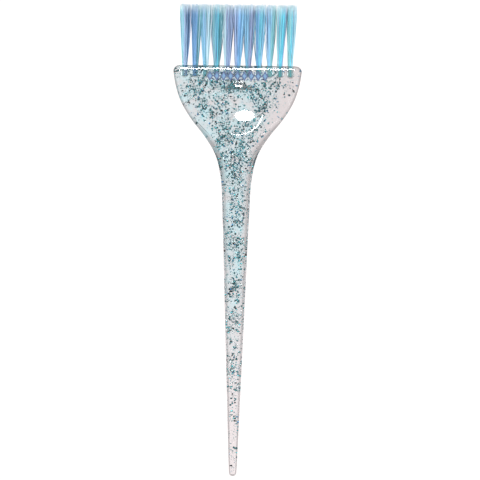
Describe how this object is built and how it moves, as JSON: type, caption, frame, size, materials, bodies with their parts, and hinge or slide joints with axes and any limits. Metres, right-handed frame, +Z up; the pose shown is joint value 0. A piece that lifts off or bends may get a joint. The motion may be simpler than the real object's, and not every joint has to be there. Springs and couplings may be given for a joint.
{
  "type": "tint brush",
  "caption": "Flat hair tint brush with a clear glitter head dished for the thumb, a long pointed tail and rows of stapled nylon tufts.",
  "frame": {"origin": "centre of the footprint, on the surface that the brush lies on", "axes": "brush lies on its back: +Y along the brush towards the bristle tips, +Z up out of the front face, +X across the head"},
  "size_m": [0.0588, 0.216, 0.009],
  "materials": {
    "clear_glitter_plastic": "clear polished plastic with moulded-in teal and aqua glitter",
    "nylon_sky": "fine drawn filaments, satin",
    "nylon_blue": "fine drawn filaments, satin",
    "nylon_teal": "fine drawn filaments, satin",
    "nylon_lavender": "fine drawn filaments, satin",
    "anchor_wire": "drawn flat stainless wire",
    "glitter_foil": "metallised hexagonal flakes in teal, aqua, blue, mint and silver",
    "printed_ink": "thin pad-printed ink"
  },
  "bodies": {
    "root": {"handle": "clear_glitter_plastic", "tuft_front_01": "nylon_sky", "tuft_front_02": "nylon_blue", "tuft_front_03": "nylon_sky", "tuft_front_04": "nylon_teal", "tuft_front_05": "nylon_lavender", "tuft_front_06": "nylon_lavender", "tuft_front_07": "nylon_sky", "tuft_front_08": "nylon_blue", "tuft_front_09": "nylon_lavender", "tuft_front_10": "nylon_sky", "tuft_front_11": "nylon_teal", "tuft_back_01": "nylon_sky", "tuft_back_02": "nylon_blue", "tuft_back_03": "nylon_sky", "tuft_back_04": "nylon_teal", "tuft_back_05": "nylon_lavender", "tuft_back_06": "nylon_lavender", "tuft_back_07": "nylon_sky", "tuft_back_08": "nylon_blue", "tuft_back_09": "nylon_lavender", "tuft_back_10": "nylon_sky", "tuft_back_11": "nylon_teal", "anchor_front_01": "anchor_wire", "anchor_front_02": "anchor_wire", "anchor_front_03": "anchor_wire", "anchor_front_04": "anchor_wire", "anchor_front_05": "anchor_wire", "anchor_front_06": "anchor_wire", "anchor_front_07": "anchor_wire", "anchor_front_08": "anchor_wire", "anchor_front_09": "anchor_wire", "anchor_front_10": "anchor_wire", "anchor_front_11": "anchor_wire", "anchor_back_01": "anchor_wire", "anchor_back_02": "anchor_wire", "anchor_back_03": "anchor_wire", "anchor_back_04": "anchor_wire", "anchor_back_05": "anchor_wire", "anchor_back_06": "anchor_wire", "anchor_back_07": "anchor_wire", "anchor_back_08": "anchor_wire", "anchor_back_09": "anchor_wire", "anchor_back_10": "anchor_wire", "anchor_back_11": "anchor_wire"}
  },
  "joints": []
}
